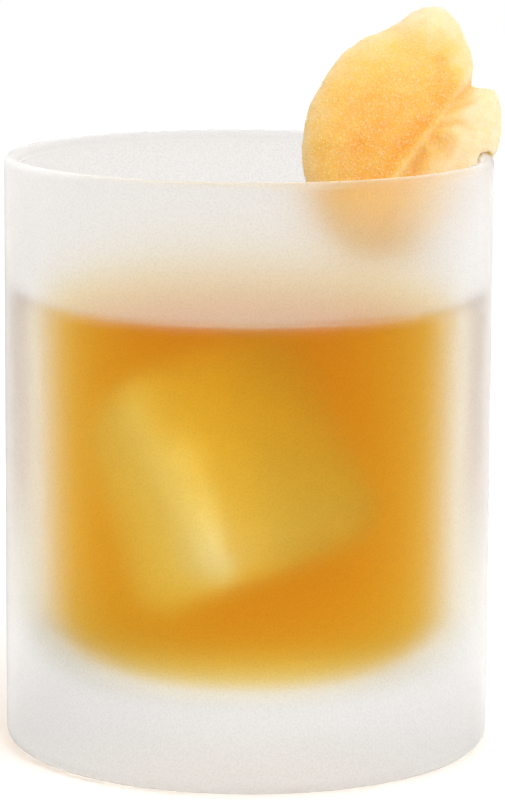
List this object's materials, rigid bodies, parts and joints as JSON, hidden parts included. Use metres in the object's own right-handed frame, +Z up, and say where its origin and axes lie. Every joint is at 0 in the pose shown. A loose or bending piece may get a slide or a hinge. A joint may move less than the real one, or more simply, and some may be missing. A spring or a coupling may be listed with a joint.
{
  "type": "penicillin cocktail",
  "caption": "Straight-sided frosted rocks glass holding an amber whisky cocktail over one large ice cube, with a sugared slice of candied ginger slit over its rim.",
  "frame": {"origin": "centre of the glass's foot, on the surface it stands on", "axes": "+Z up along the glass's axis; +X to the right, towards the side of the rim that carries the ginger; the drink is seen from -Y"},
  "size_m": [0.0877, 0.086, 0.1304],
  "materials": {
    "frosted_glass": "sandblasted outside and at the lip, smooth inside",
    "drink": "clear amber liquid",
    "ice": "clear ice, melted smooth",
    "candied_ginger": "translucent, coated in fine sugar"
  },
  "bodies": {
    "root": {"glass": "frosted_glass", "drink": "drink", "candied_ginger": "candied_ginger"}
  },
  "joints": []
}
